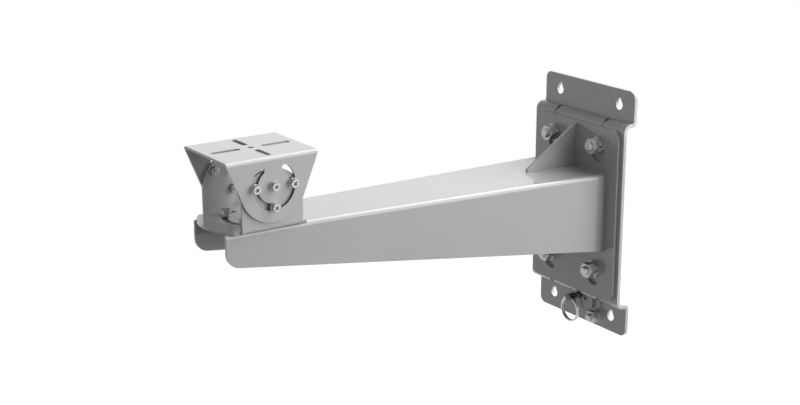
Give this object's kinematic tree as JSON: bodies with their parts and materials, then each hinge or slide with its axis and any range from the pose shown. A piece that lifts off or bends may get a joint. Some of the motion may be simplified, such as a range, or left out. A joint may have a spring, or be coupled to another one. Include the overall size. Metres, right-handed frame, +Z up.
{
  "type": "camera wall bracket",
  "caption": "Wall bracket for a heavy camera housing: folded wall plate, tapered channel arm hung on studs, and a clamped pan and tilt head with a slotted top plate.",
  "frame": {"origin": "middle of the wall plate on the wall plane, at the middle of its four screw holes", "axes": "+Y into the wall, the arm reaches out along -Y, +Z up, +X to the side; the part is stored as it hangs on a wall"},
  "size_m": [0.15, 0.4975, 0.286],
  "materials": {
    "paint": "light grey powder coat, satin, fine texture",
    "fasteners": "zinc plated steel, slightly dull",
    "ring": "bright spring wire"
  },
  "bodies": {
    "bracket": {"wall_plate": "paint", "arm_base_plate": "paint", "arm_channel": "paint", "arm_gusset": "paint", "lock_plate": "paint", "wall_studs": "fasteners", "stud_washers": "fasteners", "stud_spring_washers": "fasteners", "stud_nuts": "fasteners", "pan_pivot_washer": "fasteners", "pan_pivot_bolt": "fasteners", "pan_pivot_nut": "fasteners", "pan_clamp_washers": "fasteners", "pan_clamp_spring_washers": "fasteners", "pan_clamp_bolts": "fasteners", "pan_clamp_nuts": "fasteners", "lock_bush": "fasteners", "earth_stud": "fasteners", "earth_washer": "fasteners", "earth_spring_washer": "fasteners", "earth_nut": "fasteners"},
    "pan_head": {"lower_yoke": "paint", "tilt_pivot_washers": "fasteners", "tilt_pivot_spring_washers": "fasteners", "tilt_pivot_bolts": "fasteners", "tilt_pivot_nuts": "fasteners", "tilt_clamp_washers": "fasteners", "tilt_clamp_spring_washers": "fasteners", "tilt_clamp_bolts": "fasteners", "tilt_clamp_nuts": "fasteners"},
    "tilt_head": {"upper_yoke": "paint"},
    "lock": {"lock_pin": "fasteners"},
    "ring": {"pull_ring": "ring"}
  },
  "joints": [
    {"name": "pan", "type": "hinge", "parent": "bracket", "child": "pan_head", "pos_m": [0, -0.4425, 0.058], "axis": [0, 0, 1], "range_deg": [-30, 30]},
    {"name": "tilt", "type": "hinge", "parent": "pan_head", "child": "tilt_head", "pos_m": [0, -0.4425, 0.101], "axis": [1, 0, 0], "range_deg": [-54, 54]},
    {"name": "lock_pull", "type": "slide", "parent": "bracket", "child": "lock", "axis": [0, -1, 0], "range_m": [0, 0.006], "stiffness_N_per_m": 1500, "springref_m": -0.004},
    {"name": "ring_swing", "type": "hinge", "parent": "lock", "child": "ring", "pos_m": [0, -0.022, -0.1125], "axis": [1, 0, 0], "range_deg": [-90, 30]}
  ]
}
